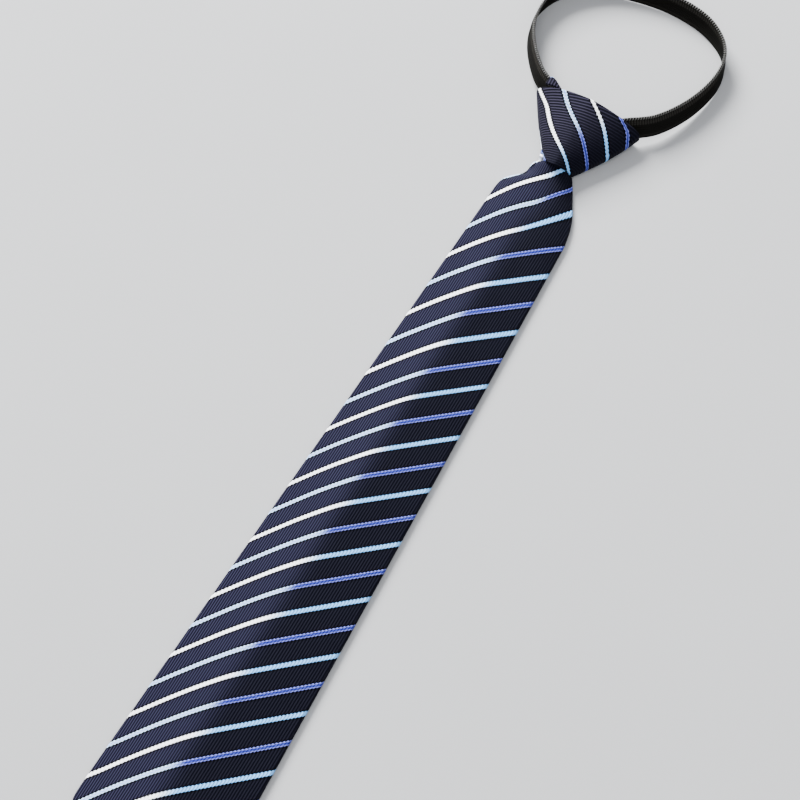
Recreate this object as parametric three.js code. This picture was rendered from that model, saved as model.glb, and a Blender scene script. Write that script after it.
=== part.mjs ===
// A zipper tie lying on its back: a striped cloth blade, a wrapped knot and a neck loop of zip tape.
// Millimetres. +X is to the right of the tie's front, +Y runs up to the neck, +Z out of the front.
// The origin is the middle of the knot's flat back.
import * as THREE from "three";

// Clearance between pieces that touch
const GAP = 0.3;

// Knot
const KNOT_HEIGHT = 37;
const KNOT_TOP_WIDTH = 63;
const KNOT_BOTTOM_WIDTH = 16.4;
const KNOT_TOP_DEPTH = 22.5;
const KNOT_BOTTOM_DEPTH = 15;
const KNOT_WALL = 1.6;
const KNOT_TOP_ARCH = 0.5;
const KNOT_BOTTOM_ARCH = 3.2;

// Blade, its lengths counted from the knot's lower edge
const BLADE_LENGTH = 462;
const BLADE_TUCK = 10;
const BLADE_MOUTH_LENGTH = 40;
const BLADE_POINT_LENGTH = 41;
const BLADE_UPPER_WIDTH = 51.2;
const BLADE_SHOULDER_WIDTH = 80.5;
const BLADE_CROWN_RISE = 10.9;
const BLADE_NECK_RISE = 5.8;
const BLADE_EDGE = 3.6;
const BLADE_WALL = 1.5;
const BLADE_SEAM = 0.8;
const BLADE_POINT_WIDTH = 4.4;
const BLADE_SHOULDER_ROUNDING = 2.5;
const BLADE_NECK_CLEARANCE = 0.8;
const BLADE_DOME_START = 8;
const BLADE_DOME_END = 90;
const BLADE_RISE_END = 110;
const BLADE_POINT_THINNING = 0.7;

// Neck loop of zip tape
const LOOP_HALF_WIDTH = 52;
const LOOP_DEPTH = 90;
const TAPE_WIDTH = 10.5;
const TAPE_THICKNESS = 1;
const TAPE_CREASE = 0.4;
const TAPE_EXIT_HEIGHT = 4.5;
const COIL_DIAMETER = 1.9;

// Pieces hidden in the knot and the blade
const CORE_BOTTOM_SETBACK = 12.3;
const CORE_TOP_SETBACK = 7;
const CORE_WIDTH_SHARE = 0.6;
const SLIDER_WIDTH = 9;
const SLIDER_LENGTH = 12;
const SLIDER_HEIGHT = 6;
const TAIL_WIDTH = 3.8;
const TAIL_THICKNESS = 2.4;
const TAIL_LENGTH = 160;

// Cloth layers that show at the knot's left side
const FOLD_REACH = 5.6;
const FOLD_WALL = 1.5;
const FOLD_BULGE = 1.2;
const FOLD_TILT = 0.6;
const UNDER_LAYER_START = 0.03;
const UNDER_LAYER_REACH = 0.46;
const UNDER_LAYER_THICKNESS = 1.2;
const UNDER_LAYER_THINNING = 0.4;
const UNDER_LAYER_FROM_DEGREES = 165;
const UNDER_LAYER_TO_DEGREES = 205;

const KNOT_BOTTOM_Y = -KNOT_HEIGHT / 2;
const KNOT_TOP_Y = KNOT_HEIGHT / 2;
const KNOT_FLOOR = KNOT_WALL + GAP;
const BLADE_NECK_END = KNOT_WALL / 2 + GAP;

// How the blade opens out below the knot: place as a share of the mouth, half widths as shares of the upper one
const MOUTH_ROWS = [
  { at: 0.04, left: 0.42, right: 0.4 },
  { at: 0.12, left: 0.57, right: 0.47 },
  { at: 0.2, left: 0.62, right: 0.55 },
  { at: 0.32, left: 0.73, right: 0.64 },
  { at: 0.52, left: 0.91, right: 0.79 },
  { at: 0.72, left: 0.98, right: 0.91 },
  { at: 1.0, left: 1.0, right: 1.0 },
];

// Neck loop from its left end in the knot round to its right end: place across and along as shares of
// the loop, lift of the lower edge as a share of the exit height, lean towards the neck in degrees
const LOOP_ROWS = [
  { across: -0.22, along: -0.14, lift: 1.0, lean: 24 },
  { across: -0.41, along: 0.0, lift: 1.0, lean: 24 },
  { across: -0.72, along: 0.13, lift: 0.8, lean: 21 },
  { across: -1.01, along: 0.36, lift: 0.2, lean: 16 },
  { across: -1.1, along: 0.58, lift: 0.0, lean: 11 },
  { across: -0.99, along: 0.775, lift: 0.0, lean: 0 },
  { across: -0.66, along: 0.92, lift: 0.0, lean: -16 },
  { across: -0.24, along: 0.985, lift: 0.0, lean: -24 },
  { across: 0.18, along: 0.995, lift: 0.0, lean: -26 },
  { across: 0.6, along: 0.94, lift: 0.0, lean: -20 },
  { across: 0.91, along: 0.8, lift: 0.0, lean: -4 },
  { across: 1.0, along: 0.6, lift: 0.0, lean: 10 },
  { across: 0.91, along: 0.35, lift: 0.2, lean: 18 },
  { across: 0.7, along: 0.128, lift: 0.55, lean: 26 },
  { across: 0.43, along: 0.0, lift: 0.8, lean: 32 },
  { across: 0.22, along: -0.11, lift: 1.0, lean: 38 },
];

function mix(from, to, share) {
  return from + (to - from) * share;
}

function smoothStep(low, high, value) {
  const share = Math.min(Math.max((value - low) / (high - low), 0), 1);
  return share * share * (3 - 2 * share);
}

// Smooth value of one column of a table, with no overshoot between its rows
function fromRows(rows, column, at) {
  const last = rows.length - 1;
  if (at <= rows[0].at) return rows[0][column];
  if (at >= rows[last].at) return rows[last][column];
  let row = 0;
  while (at > rows[row + 1].at) row += 1;
  const slope = (k) => (rows[k + 1][column] - rows[k][column]) / (rows[k + 1].at - rows[k].at);
  const tangent = (k) => {
    if (k === 0) return slope(0);
    if (k === last) return slope(last - 1);
    const product = slope(k - 1) * slope(k);
    return product <= 0 ? 0 : (2 * product) / (slope(k - 1) + slope(k));
  };
  const span = rows[row + 1].at - rows[row].at;
  const t = (at - rows[row].at) / span;
  const bend = span * t * (1 - t) * (tangent(row) * (1 - t) - tangent(row + 1) * t);
  return mix(rows[row][column], rows[row + 1][column], t * t * (3 - 2 * t)) + bend;
}

// Triangles over a flat closed outline, wound the way the outline runs
function capTriangles(ring) {
  const normal = new THREE.Vector3();
  ring.forEach((point, i) => {
    normal.add(new THREE.Vector3().crossVectors(point, ring[(i + 1) % ring.length]));
  });
  normal.normalize();
  const side = new THREE.Vector3(1, 0, 0).cross(normal);
  if (side.length() < 0.1) side.set(0, 1, 0).cross(normal);
  side.normalize();
  const up = new THREE.Vector3().crossVectors(normal, side);
  const flat = ring.map((point) => new THREE.Vector2(point.dot(side), point.dot(up)));
  const turned = (a, b, c) => (b.x - a.x) * (c.y - a.y) - (b.y - a.y) * (c.x - a.x) < 0;
  return THREE.ShapeUtils.triangulateShape(flat, []).map(([a, b, c]) => {
    return turned(flat[a], flat[b], flat[c]) ? [a, c, b] : [a, b, c];
  });
}

// One closed solid skinned over rings of equal count: capped at both ends, or joined last to first
function skin(rings, joined = false) {
  const count = rings[0].length;
  const positions = rings.flat().flatMap((point) => [point.x, point.y, point.z]);
  const index = [];
  const spans = joined ? rings.length : rings.length - 1;
  for (let i = 0; i < spans; i += 1) {
    const here = i * count;
    const next = ((i + 1) % rings.length) * count;
    for (let j = 0; j < count; j += 1) {
      const k = (j + 1) % count;
      index.push(here + j, here + k, next + k, here + j, next + k, next + j);
    }
  }
  if (!joined) {
    const end = (rings.length - 1) * count;
    capTriangles(rings[0]).forEach(([a, b, c]) => index.push(a, c, b));
    capTriangles(rings[rings.length - 1]).forEach(([a, b, c]) => index.push(end + a, end + b, end + c));
  }
  const geometry = new THREE.BufferGeometry();
  geometry.setAttribute("position", new THREE.Float32BufferAttribute(positions, 3));
  geometry.setIndex(signedVolume(positions, index) < 0 ? flipped(index) : index);
  geometry.computeVertexNormals();
  return geometry;
}

function signedVolume(positions, index) {
  const corner = (i) => new THREE.Vector3().fromArray(positions, 3 * i);
  let sum = 0;
  for (let i = 0; i < index.length; i += 3) {
    sum += corner(index[i]).dot(corner(index[i + 1]).cross(corner(index[i + 2])));
  }
  return sum / 6;
}

function flipped(index) {
  const result = [];
  for (let i = 0; i < index.length; i += 3) {
    result.push(index[i], index[i + 2], index[i + 1]);
  }
  return result;
}

// The knot's two sides: reach from the middle as shares of its widths, bulge at half height as a share
// of the top width, and the power of the front's curve, low where it falls straight like a roof
const KNOT_SIDES = {
  left: { bottom: 0.465, top: 0.503, bulge: 0, power: 2 },
  right: { bottom: 0.535, top: 0.497, bulge: 0.03, power: 1.4 },
};
const KNOT_BELLY = 0.4;
const KNOT_BACK_FLATTENING = 1.06;
const KNOT_BACK_POWER = 4;

// Point on the knot's surface: share up the knot, angle round it and distance in from the outside
function knotPoint(share, angle, inset) {
  const cosine = Math.cos(angle);
  const sine = Math.sin(angle);
  const side = cosine > 0 ? KNOT_SIDES.right : KNOT_SIDES.left;
  const bulge = side.bulge * KNOT_TOP_WIDTH * Math.sin(Math.PI * share);
  const halfWidth = mix(side.bottom * KNOT_BOTTOM_WIDTH, side.top * KNOT_TOP_WIDTH, share) + bulge - inset;
  const depth = mix(KNOT_BOTTOM_DEPTH, KNOT_TOP_DEPTH, share) - 2 * inset;
  const power = sine > 0 ? side.power : KNOT_BACK_POWER;
  const reach = sine > 0 ? depth * (1 - KNOT_BELLY) : -depth * KNOT_BELLY * KNOT_BACK_FLATTENING;
  const x = halfWidth * Math.sign(cosine) * Math.abs(cosine) ** (2 / power);
  const z = inset + depth * KNOT_BELLY + reach * Math.abs(sine) ** (2 / power);
  const front = Math.max(0, sine);
  const arch = KNOT_TOP_ARCH * share ** 3 * front - KNOT_BOTTOM_ARCH * (1 - share) ** 3 * front ** 2;
  return new THREE.Vector3(x, mix(KNOT_BOTTOM_Y, KNOT_TOP_Y, share) + arch, Math.max(z, inset));
}

function knotRing(share, inset, shift) {
  const sides = 36;
  const ring = [];
  for (let i = 0; i < sides; i += 1) {
    const point = knotPoint(share, (2 * Math.PI * i) / sides, inset);
    point.y += shift;
    ring.push(point);
  }
  return ring;
}

// The wrap's wall runs up the outside, over a rounded rim, down the inside and round the lower rim
function makeKnotWrap() {
  const levels = 10;
  const rimSteps = 4;
  const rings = [];
  for (let i = 0; i <= levels; i += 1) {
    rings.push(knotRing(i / levels, 0, 0));
  }
  for (let i = 1; i < rimSteps; i += 1) {
    const turn = (Math.PI * i) / rimSteps;
    rings.push(knotRing(1, (KNOT_WALL / 2) * (1 - Math.cos(turn)), (KNOT_WALL / 2) * Math.sin(turn)));
  }
  for (let i = levels; i >= 0; i -= 1) {
    rings.push(knotRing(i / levels, KNOT_WALL, 0));
  }
  for (let i = 1; i < rimSteps; i += 1) {
    const turn = (Math.PI * i) / rimSteps;
    rings.push(knotRing(0, (KNOT_WALL / 2) * (1 + Math.cos(turn)), (-KNOT_WALL / 2) * Math.sin(turn)));
  }
  return skin(rings, true);
}

// A thin layer that hugs the lower left of the knot, thinning out upwards
function makeKnotUnderLayer() {
  const levels = 6;
  const steps = 5;
  const fromAngle = THREE.MathUtils.degToRad(UNDER_LAYER_FROM_DEGREES);
  const toAngle = THREE.MathUtils.degToRad(UNDER_LAYER_TO_DEGREES);
  const rings = [];
  for (let i = 0; i <= levels; i += 1) {
    const share = mix(UNDER_LAYER_START, UNDER_LAYER_REACH, i / levels);
    const thickness = UNDER_LAYER_THICKNESS * mix(1, UNDER_LAYER_THINNING, i / levels);
    const outer = [];
    const inner = [];
    for (let j = 0; j <= steps; j += 1) {
      const angle = mix(fromAngle, toAngle, j / steps);
      outer.push(knotPoint(share, angle, -GAP - thickness));
      inner.unshift(knotPoint(share, angle, -GAP));
    }
    rings.push([...outer, ...inner]);
  }
  return skin(rings);
}

// A cloth corner that stands behind the top left of the rim, over the tape's outer edge: its sides as
// shares of the knot's half width at the foot and at the tip
const FOLD_FOOT = { left: -0.86, right: -0.53 };
const FOLD_TIP = { left: -0.8, right: -0.7 };
function makeKnotFold() {
  const levels = 4;
  const steps = 6;
  const footY = KNOT_TOP_Y + KNOT_TOP_ARCH + KNOT_WALL / 2 + GAP;
  const footZ = TAPE_EXIT_HEIGHT + TAPE_WIDTH + COIL_DIAMETER;
  const halfTop = KNOT_TOP_WIDTH / 2;
  const rings = [];
  for (let i = 0; i <= levels; i += 1) {
    const share = i / levels;
    const left = halfTop * mix(FOLD_FOOT.left, FOLD_TIP.left, share);
    const right = halfTop * mix(FOLD_FOOT.right, FOLD_TIP.right, share);
    const upper = [];
    const lower = [];
    for (let j = 0; j <= steps; j += 1) {
      const x = mix(left, right, j / steps);
      const y = footY + FOLD_REACH * share;
      const z = footZ + FOLD_BULGE * Math.sin((Math.PI * j) / steps) + FOLD_TILT * share;
      upper.push(new THREE.Vector3(x, y, z + FOLD_WALL));
      lower.unshift(new THREE.Vector3(x, y, z));
    }
    rings.push([...upper, ...lower]);
  }
  return skin(rings);
}

// Height of the blade's underside: on the floor, but lifted over the knot's back wall
function bladeLift(s) {
  return KNOT_FLOOR * (1 - smoothStep(BLADE_NECK_END, BLADE_MOUTH_LENGTH / 4, s));
}

function bladeHalfWidth(s, side) {
  const neck = KNOT_BOTTOM_WIDTH / 2 - KNOT_WALL - GAP - BLADE_NECK_CLEARANCE;
  if (s <= BLADE_NECK_END) return neck;
  const upper = BLADE_UPPER_WIDTH / 2;
  const shoulder = BLADE_SHOULDER_WIDTH / 2;
  const shoulderAt = BLADE_LENGTH - BLADE_POINT_LENGTH;
  const opened = upper * fromRows(MOUTH_ROWS, side, s / BLADE_MOUTH_LENGTH);
  const sides = s < BLADE_MOUTH_LENGTH
    ? opened
    : mix(upper, shoulder, (s - BLADE_MOUTH_LENGTH) / (shoulderAt - BLADE_MOUTH_LENGTH));
  const point = mix(BLADE_POINT_WIDTH / 2, shoulder, (BLADE_LENGTH - s) / BLADE_POINT_LENGTH);
  const spread = Math.hypot(sides - point, BLADE_SHOULDER_ROUNDING);
  return (sides + point - spread) / 2 + (s < shoulderAt / 2 ? (spread - Math.abs(sides - point)) / 2 : 0);
}

// Height of the front over its edges at a share of the way out from the middle: a dome below the
// knot that turns into a roof with a rounded ridge
const RIDGE_ROUNDING = 0.2;
const DOME_POWER = 2.4;
function crownShare(outward, dome) {
  const ridge = Math.hypot(outward, RIDGE_ROUNDING) - RIDGE_ROUNDING;
  const roof = 1 - ridge / (Math.hypot(1, RIDGE_ROUNDING) - RIDGE_ROUNDING);
  return mix(roof, 1 - outward ** DOME_POWER, dome);
}

// Cross-section of the folded blade: a C with its slit at the middle of the back
function bladeRing(s) {
  const dome = 1 - smoothStep(BLADE_DOME_START, BLADE_DOME_END, s);
  const thin = mix(1, BLADE_POINT_THINNING, smoothStep(BLADE_LENGTH - BLADE_POINT_LENGTH, BLADE_LENGTH, s));
  const lift = bladeLift(s);
  const edge = BLADE_EDGE * thin;
  const wall = BLADE_WALL * thin;
  const radius = edge / 2;
  const half = { left: bladeHalfWidth(s, "left"), right: bladeHalfWidth(s, "right") };
  const mean = (half.left + half.right) / 2;
  const fullRise = (BLADE_CROWN_RISE * 2 * mean) / BLADE_SHOULDER_WIDTH;
  const rise = mix(BLADE_NECK_RISE, fullRise, smoothStep(0, BLADE_RISE_END, s));
  const shares = [0, 0.12, 0.26, 0.42, 0.6, 0.78, 0.92, 1];
  const arcTurns = [45, 0, -45];
  const y = KNOT_BOTTOM_Y - s;
  const at = (x, z) => new THREE.Vector3(x, y, z + lift);
  const outside = (sign, halfWidth) => {
    const roof = shares.map((u) => at(sign * u * (halfWidth - radius), edge + rise * crownShare(u, dome)));
    const arc = arcTurns.map((degrees) => {
      const turn = (degrees * Math.PI) / 180;
      return at(sign * (halfWidth - radius + radius * Math.cos(turn)), radius + radius * Math.sin(turn));
    });
    return [...roof, ...arc, at(sign * (halfWidth - radius), 0), at((sign * BLADE_SEAM) / 2, 0)];
  };
  const inside = (sign, halfWidth) => {
    const reach = halfWidth - radius - dome * wall * 0.6;
    const hollow = edge - 2 * wall;
    const roof = shares.map((u) => at(sign * u * reach, wall + hollow + rise * crownShare(u, dome)));
    return [...roof, at(sign * reach, wall), at((sign * BLADE_SEAM) / 2, wall)];
  };
  const outerRight = outside(1, half.right);
  const innerRight = inside(1, half.right);
  const outerLeft = outside(-1, half.left);
  const innerLeft = inside(-1, half.left);
  return [
    ...outerRight,
    ...innerRight.slice().reverse(),
    ...innerLeft.slice(1),
    ...outerLeft.slice(1).reverse(),
  ];
}

function bladePlaces() {
  const mouthSteps = 14;
  const bodySteps = 12;
  const pointSteps = 8;
  const bodyEnd = BLADE_LENGTH - BLADE_POINT_LENGTH - 2 * BLADE_SHOULDER_ROUNDING;
  const places = [-BLADE_TUCK, -BLADE_TUCK / 2, 0, BLADE_NECK_END];
  for (let i = 0; i <= mouthSteps; i += 1) {
    places.push(mix(BLADE_NECK_END + GAP, BLADE_MOUTH_LENGTH, (i / mouthSteps) ** 1.3));
  }
  for (let i = 1; i <= bodySteps; i += 1) {
    places.push(mix(BLADE_MOUTH_LENGTH, bodyEnd, (i / bodySteps) ** 1.4));
  }
  for (let i = 1; i <= pointSteps; i += 1) {
    places.push(mix(bodyEnd, BLADE_LENGTH, i / pointSteps));
  }
  return places;
}

function makeBlade() {
  return skin(bladePlaces().map(bladeRing));
}

// Middle line, lean and cross direction of the tape at a share of its length
function tapeFrames(count) {
  const points = LOOP_ROWS.map((row) => {
    const lean = THREE.MathUtils.degToRad(row.lean);
    const rise = (TAPE_WIDTH / 2) * Math.cos(lean) + (TAPE_THICKNESS / 2 + TAPE_CREASE) * Math.abs(Math.sin(lean));
    return new THREE.Vector3(
      row.across * LOOP_HALF_WIDTH,
      KNOT_TOP_Y + row.along * LOOP_DEPTH,
      row.lift * TAPE_EXIT_HEIGHT + rise,
    );
  });
  const leans = LOOP_ROWS.map((row) => new THREE.Vector3(THREE.MathUtils.degToRad(row.lean), 0, 0));
  const line = new THREE.CatmullRomCurve3(points, false, "catmullrom", 0.5);
  const leanLine = new THREE.CatmullRomCurve3(leans, false, "catmullrom", 0.5);
  const frames = [];
  for (let i = 0; i <= count; i += 1) {
    const t = i / count;
    const along = line.getTangent(t);
    const inward = new THREE.Vector3(along.y, -along.x, 0).normalize();
    const upright = new THREE.Vector3().crossVectors(along, inward).normalize();
    if (upright.z < 0) upright.negate();
    const lean = leanLine.getPoint(t).x;
    const cross = upright.clone().multiplyScalar(Math.cos(lean)).addScaledVector(inward, Math.sin(lean));
    const face = new THREE.Vector3().crossVectors(cross, along).normalize();
    frames.push({ centre: line.getPoint(t), cross, face });
  }
  return frames;
}

const TAPE_STEPS = 75;
function tapePoint(frame, up, out) {
  return frame.centre.clone().addScaledVector(frame.cross, up).addScaledVector(frame.face, out);
}

// The tape is a flat strap with a slight crease along its middle
function makeZipTape() {
  const half = TAPE_WIDTH / 2;
  const thick = TAPE_THICKNESS / 2;
  const outline = [
    { up: -half, out: thick },
    { up: 0, out: thick + TAPE_CREASE },
    { up: half, out: thick },
    { up: half, out: -thick },
    { up: 0, out: TAPE_CREASE - thick },
    { up: -half, out: -thick },
  ];
  const ringAt = (frame) => outline.map((corner) => tapePoint(frame, corner.up, corner.out));
  return skin(tapeFrames(TAPE_STEPS).map(ringAt));
}

function makeZipCoil() {
  const sides = 6;
  const radius = COIL_DIAMETER / 2;
  const middle = TAPE_WIDTH / 2 + GAP + radius;
  const rings = tapeFrames(TAPE_STEPS).map((frame) => {
    const ring = [];
    for (let i = 0; i < sides; i += 1) {
      const turn = (2 * Math.PI * i) / sides;
      ring.push(tapePoint(frame, middle + radius * Math.cos(turn), radius * Math.sin(turn)));
    }
    return ring;
  });
  return skin(rings);
}

// A plate that follows the knot's taper and lies on the inside of its back wall
const CORE_TOP = TAPE_EXIT_HEIGHT - GAP;
function makeKnotCore() {
  const lowY = KNOT_BOTTOM_Y + CORE_BOTTOM_SETBACK;
  const highY = KNOT_TOP_Y - CORE_TOP_SETBACK;
  const halfAt = (y) => {
    const share = (y - KNOT_BOTTOM_Y) / KNOT_HEIGHT;
    return CORE_WIDTH_SHARE * (mix(KNOT_BOTTOM_WIDTH, KNOT_TOP_WIDTH, share) / 2 - KNOT_WALL);
  };
  const outline = new THREE.Shape([
    new THREE.Vector2(-halfAt(lowY), lowY),
    new THREE.Vector2(halfAt(lowY), lowY),
    new THREE.Vector2(halfAt(highY), highY),
    new THREE.Vector2(-halfAt(highY), highY),
  ]);
  const geometry = new THREE.ExtrudeGeometry(outline, { depth: CORE_TOP - KNOT_FLOOR, bevelEnabled: false });
  return geometry.translate(0, 0, KNOT_FLOOR);
}

function makeZipSlider() {
  const geometry = new THREE.BoxGeometry(SLIDER_WIDTH, SLIDER_LENGTH, SLIDER_HEIGHT);
  const y = KNOT_BOTTOM_Y + CORE_BOTTOM_SETBACK + SLIDER_LENGTH / 2 + GAP;
  return geometry.translate(0, y, CORE_TOP + GAP + SLIDER_HEIGHT / 2);
}

// The closed end of the zip runs down the inside of the blade, on its back flaps
function makeZipTail() {
  const steps = 16;
  const start = -(CORE_BOTTOM_SETBACK - GAP);
  const rings = [];
  for (let i = 0; i <= steps; i += 1) {
    const s = mix(start, start + TAIL_LENGTH, (i / steps) ** 1.8);
    const low = bladeLift(s) + BLADE_WALL + 2 * GAP;
    const y = KNOT_BOTTOM_Y - s;
    const half = TAIL_WIDTH / 2;
    rings.push([
      new THREE.Vector3(-half, y, low),
      new THREE.Vector3(half, y, low),
      new THREE.Vector3(half, y, low + TAIL_THICKNESS),
      new THREE.Vector3(-half, y, low + TAIL_THICKNESS),
    ]);
  }
  return skin(rings);
}

function material(color, roughness, metalness = 0) {
  return new THREE.MeshStandardMaterial({ color, roughness, metalness });
}

const cloth = material(0x1c1d2c, 0.62);
const blackTape = material(0x15140f, 0.85);
const blackNylon = material(0x1b1a17, 0.45);
const blackPlastic = material(0x202022, 0.5);
const zincAlloy = material(0x8a8a8c, 0.35, 1);

const tie = new THREE.Group();
function add(name, geometry, look) {
  const mesh = new THREE.Mesh(geometry, look.clone());
  mesh.name = name;
  tie.add(mesh);
}

add("blade", makeBlade(), cloth);
add("knot_wrap", makeKnotWrap(), cloth);
add("knot_fold", makeKnotFold(), cloth);
add("knot_under_layer", makeKnotUnderLayer(), cloth);
add("zip_tape", makeZipTape(), blackTape);
add("zip_coil", makeZipCoil(), blackNylon);
add("knot_core", makeKnotCore(), blackPlastic);
add("zip_slider", makeZipSlider(), zincAlloy);
add("zip_tail", makeZipTail(), blackTape);

export default tie;
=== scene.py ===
import math
import bmesh
import bpy
from mathutils import Matrix, Vector, noise


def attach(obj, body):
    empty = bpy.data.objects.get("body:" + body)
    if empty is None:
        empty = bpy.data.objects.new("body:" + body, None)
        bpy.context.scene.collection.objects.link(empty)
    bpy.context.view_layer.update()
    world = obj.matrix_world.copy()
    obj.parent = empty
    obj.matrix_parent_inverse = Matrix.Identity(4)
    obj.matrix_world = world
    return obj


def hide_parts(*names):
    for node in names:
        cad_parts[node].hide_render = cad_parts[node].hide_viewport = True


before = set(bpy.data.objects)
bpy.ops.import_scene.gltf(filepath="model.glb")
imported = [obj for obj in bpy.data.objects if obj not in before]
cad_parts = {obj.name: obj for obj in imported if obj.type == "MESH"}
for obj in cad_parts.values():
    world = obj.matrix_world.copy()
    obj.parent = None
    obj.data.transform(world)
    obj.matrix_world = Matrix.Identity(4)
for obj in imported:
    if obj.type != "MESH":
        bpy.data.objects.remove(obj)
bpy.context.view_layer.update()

MM = 0.001
GAP = 0.3

# Knot
KNOT_HEIGHT = 37
KNOT_TOP_WIDTH = 63
KNOT_BOTTOM_WIDTH = 16.4
KNOT_TOP_DEPTH = 22.5
KNOT_BOTTOM_DEPTH = 15
KNOT_WALL = 1.6
KNOT_TOP_ARCH = 0.5
KNOT_BOTTOM_ARCH = 3.2
KNOT_BELLY = 0.4
KNOT_BACK_FLATTENING = 1.06
KNOT_BACK_POWER = 4

# Blade, its lengths counted from the knot's lower edge
BLADE_LENGTH = 462
BLADE_TUCK = 10
BLADE_MOUTH_LENGTH = 40
BLADE_POINT_LENGTH = 41
BLADE_UPPER_WIDTH = 51.2
BLADE_SHOULDER_WIDTH = 80.5
BLADE_CROWN_RISE = 10.9
BLADE_NECK_RISE = 5.8
BLADE_EDGE = 3.6
BLADE_WALL = 1.5
BLADE_SEAM = 0.8
BLADE_POINT_WIDTH = 4.4
BLADE_SHOULDER_ROUNDING = 2.5
BLADE_NECK_CLEARANCE = 0.8
BLADE_DOME_START = 8
BLADE_DOME_END = 90
BLADE_RISE_END = 110
BLADE_POINT_THINNING = 0.7
RIDGE_ROUNDING = 0.12
DOME_POWER = 2.4
INNER_DRAW = 0.6
INNER_BOW = 0.01

# Soft unevenness of the blade's cloth. Each wave: height, length across, length down, place in the noise
RELIEF_WAVES = ((0.35, 26, 60, 1.5), (0.12, 9, 22, 4.5))
RELIEF_EDGE_POWER = 4
RELIEF_START = 30

# Neck loop of zip tape
LOOP_HALF_WIDTH = 52
LOOP_DEPTH = 90
TAPE_WIDTH = 10.5
TAPE_THICKNESS = 1
TAPE_CREASE = 0.4
TAPE_EXIT_HEIGHT = 4.5
COIL_DIAMETER = 1.9
TOOTH_PITCH = 1.5
TOOTH_WIRE = 0.55
TAPE_LIP = 1.9
TAPE_LIP_THICKNESS = 0.35
TAPE_LIP_START = 0.1
TAPE_EDGE_ROUNDING = 0.5
TAPE_EDGE_THINNING = 0.2
TAPE_RINGS = 420
COIL_TURN_STEPS = 10
COIL_LINE_STEPS = 3200
ROUND_SIDES = 6

# Small corner of cloth that stands up behind the knot, its foot and tip as shares of half the knot's top
FOLD_REACH = 4.8
FOLD_WALL = 1.5
FOLD_BULGE = 1.2
FOLD_TILT = 0.6
FOLD_TIP_START = 0.75
FOLD_FOOT = {"left": -0.86, "right": -0.53}
FOLD_TIP = {"left": -0.85, "right": -0.75}
FOLD_STRIPE_GAIN = 1.08
FOLD_STRIPE_POWER = 5

# Layer under the wrap, its places up and round it as shares
UNDER_LAYER_START = 0.03
UNDER_LAYER_REACH = 0.44
UNDER_LAYER_CLEARANCE = 0.03
UNDER_LAYER_THICKNESS = 0.2
UNDER_LAYER_THINNING = 0.5
UNDER_LAYER_FLARE = 2.2
UNDER_LAYER_FLARE_END = 0.4
UNDER_LAYER_FLARE_POWER = 1.5
UNDER_LAYER_FROM_DEGREES = 165
UNDER_LAYER_TO_DEGREES = 205
UNDER_LAYER_TIP_DEGREES = 179
UNDER_LAYER_TIP_SPREAD = 2
UNDER_LAYER_TAPER = 0.8
UNDER_LAYER_VIOLET = (0.1, 0.3)
UNDER_LAYER_DARK_FROM = 0.2
UNDER_LAYER_DARKENING = 0.28
# How far its cloth is taken as turned from the light, which sets its painted light and shade
UNDER_LAYER_TURN = 0.45
UNDER_LAYER_VIOLET_TURN = 0.5

# Corners of the small pleat where the blade's left edge turns into the knot, its heights and its stripe
PLEAT_EDGE = ((-13.4, -21.7), (-9.4, -16.9))
PLEAT_ROOT = ((-12.2, -22.8), (-7.9, -20.4))
PLEAT_THICKNESS = 1.3
PLEAT_EDGE_Z = 3.8
PLEAT_ROOT_Z = 4.8
PLEAT_BULGE = 0.7
PLEAT_BULGE_WAY = (-0.7, 0.7)
PLEAT_ROLL = 0.3
PLEAT_STRIPE_START = 0.2
PLEAT_STRIPE_DEPTHS = (1.9, 3.8)
# How far the pleat's cloth is taken as turned from the light, which sets its painted light and shade
PLEAT_TURN = 0.3

# Stripes of the blade: their pitch down the cloth, and how they bend left and right of the ridge
STRIPE_PITCH_NEAR = 19.6
STRIPE_PITCH_FAR = 17.0
STRIPE_CHANGE_AT = 145
STRIPE_CHANGE_NUMBER = 7
STRIPE_CHANGE_ROUNDING = 5
LEFT_STRIPE_BEND = 1.2
LEFT_STRIPE_REACH = 36
RIGHT_STRIPE_LEAN = 0.93
RIGHT_STRIPE_BEND = 0.6
RIGHT_STRIPE_BEND_SPAN = (30, 62)
RIGHT_STRIPE_ROUNDING = 4
BLADE_STRIPE_GAP = STRIPE_PITCH_FAR / math.sqrt(2)

# Stripe along the blade's turned left edge, just below the knot
EDGE_STRIPE_START = 8.5
EDGE_STRIPE_END = 20
EDGE_STRIPE_REACH = 4
EDGE_STRIPE_WIDENING = 0.42
EDGE_STRIPE_FADE = 1.3

# Ribs and stripes of the knot: the stripes sway at its left, and bend and wave towards its right
KNOT_RIB_LEAN = 0.15
KNOT_RIB_CROWDING = 0.25
KNOT_STRIPE_PITCH = 17.4
KNOT_STRIPE_AT = 3.6
KNOT_STRIPE_SWAY = 1.8
KNOT_STRIPE_SWAY_SHIFT = 1.1
KNOT_STRIPE_SWAY_TURN = 1.2
KNOT_STRIPE_TOP_PULL = 2.8
KNOT_STRIPE_TOP_REACH = 12
KNOT_STRIPE_RUN = 29.7
KNOT_STRIPE_RUN_LOSS = 0.63
KNOT_STRIPE_BEND = 2.1
KNOT_STRIPE_WAVE = 1.1
KNOT_SWAY_SPAN = (2, -12)
KNOT_BEND_SPAN = (4, 18)
KNOT_WAVE_SPAN = (16, 6)
KNOT_STRIPE_GAP = KNOT_STRIPE_PITCH / math.sqrt(2)
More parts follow.
